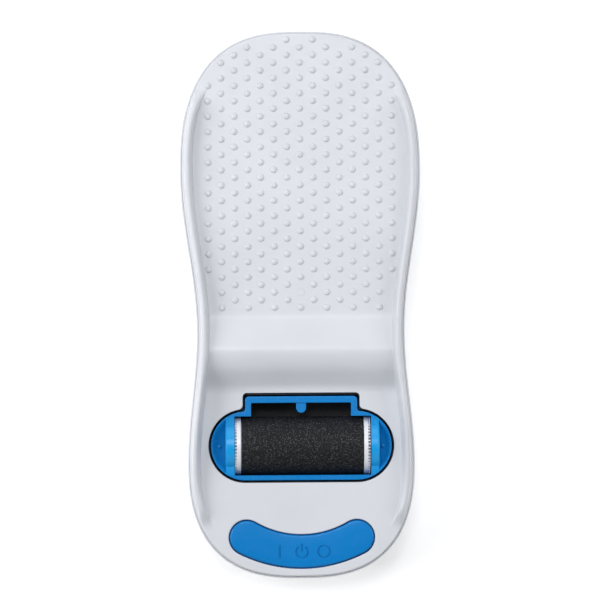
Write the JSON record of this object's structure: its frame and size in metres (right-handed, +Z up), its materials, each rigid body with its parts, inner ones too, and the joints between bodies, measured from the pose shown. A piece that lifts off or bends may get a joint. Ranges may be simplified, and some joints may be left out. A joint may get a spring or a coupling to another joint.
{
  "type": "electric callus remover",
  "caption": "Foot-shaped step-on callus remover: tread bed, side rims, lift-out powered abrasive roller and crescent foot button.",
  "frame": {"origin": "on the floor, below the middle of the body's bounding box", "axes": "+Y along the body towards the toe end, +X to the standing user's right, +Z up"},
  "size_m": [0.12, 0.273, 0.046],
  "materials": {
    "white_plastic": "satin moulded ABS",
    "blue_plastic": "semi-gloss moulded ABS",
    "black_plastic": "fine-textured moulded plastic",
    "acetal": "smooth moulded acetal",
    "grit": "coarse bonded mineral grit",
    "steel": "plain steel",
    "brass": "turned",
    "rubber": "matt moulded rubber",
    "cell_wrap": "plain printed sleeve on a steel can",
    "board": "solder-masked glass epoxy",
    "red_wire": "PVC insulation",
    "black_wire": "PVC insulation"
  },
  "bodies": {
    "base": {"battery_box": "black_plastic", "battery_cell_1": "cell_wrap", "battery_cell_2": "cell_wrap", "battery_cell_3": "cell_wrap", "battery_cell_4": "cell_wrap", "bottom_shell": "white_plastic", "button_spring_left": "steel", "button_spring_right": "steel", "case_screw_1": "steel", "case_screw_2": "steel", "case_screw_3": "steel", "case_screw_4": "steel", "case_screw_5": "steel", "case_screw_6": "steel", "cell_spring_1": "steel", "cell_spring_2": "steel", "cell_spring_3": "steel", "cell_spring_4": "steel", "contact_strip_front": "steel", "contact_strip_rear": "steel", "drive_gear_axle": "steel", "foot_switch": "black_plastic", "gearbox_plate_inner": "steel", "gearbox_plate_outer": "steel", "gearbox_spacer_1": "brass", "gearbox_spacer_2": "brass", "motor_can": "steel", "motor_cradle": "black_plastic", "motor_end_cap": "black_plastic", "reduction_gear_axle": "steel", "roller_well": "black_plastic", "rubber_foot_1": "rubber", "rubber_foot_2": "rubber", "rubber_foot_3": "rubber", "rubber_foot_4": "rubber", "rubber_foot_5": "rubber", "rubber_foot_6": "rubber", "switch_board": "board", "top_shell": "white_plastic", "wire_battery_to_motor": "black_wire", "wire_battery_to_switch": "red_wire", "wire_switch_to_motor": "red_wire"},
    "cartridge": {"cartridge_frame": "blue_plastic", "roller_axle": "steel", "bush_left": "brass", "bush_right": "brass"},
    "roller": {"abrasive_sleeve": "grit", "roller_core": "acetal", "end_ring_left": "acetal", "end_ring_right": "acetal"},
    "drive_gear": {"drive_gear": "acetal"},
    "reduction_gear": {"reduction_gear": "acetal"},
    "motor_rotor": {"motor_shaft": "steel", "motor_pinion": "brass"},
    "button": {"power_button": "blue_plastic", "switch_plunger": "acetal"},
    "battery_door": {"battery_door": "white_plastic", "door_latch": "black_plastic"}
  },
  "joints": [
    {"name": "cartridge_lift", "type": "slide", "parent": "base", "child": "cartridge", "axis": [0, 0, 1], "range_m": [0, 0.04]},
    {"name": "roller_spin", "type": "hinge", "parent": "cartridge", "child": "roller", "pos_m": [0, -0.0702, 0.0225], "axis": [1, 0, 0], "continuous": true},
    {"name": "drive_gear_spin", "type": "hinge", "parent": "base", "child": "drive_gear", "pos_m": [-0.03325, -0.04871, 0.01593], "axis": [1, 0, 0], "continuous": true},
    {"name": "reduction_gear_spin", "type": "hinge", "parent": "base", "child": "reduction_gear", "pos_m": [-0.036, -0.03735, 0.019], "axis": [1, 0, 0], "continuous": true},
    {"name": "motor_spin", "type": "hinge", "parent": "base", "child": "motor_rotor", "pos_m": [-0.036, -0.02459, 0.0215], "axis": [1, 0, 0], "continuous": true},
    {"name": "button_press", "type": "slide", "parent": "base", "child": "button", "axis": [0, 0, -1], "range_m": [0, 0.0018], "stiffness_N_per_m": 2000, "springref_m": -0.001, "deforming": ["button_spring_left", "button_spring_right"]},
    {"name": "battery_door_hinge", "type": "hinge", "parent": "base", "child": "battery_door", "pos_m": [0, 0.0849, 0.004], "axis": [1, 0, 0], "range_deg": [0, 95]}
  ],
  "couplings": [
    {"joint": "drive_gear_spin", "follows": "roller_spin", "ratio": -1.625},
    {"joint": "reduction_gear_spin", "follows": "roller_spin", "ratio": 4.3333},
    {"joint": "motor_spin", "follows": "roller_spin", "ratio": -14.444}
  ]
}
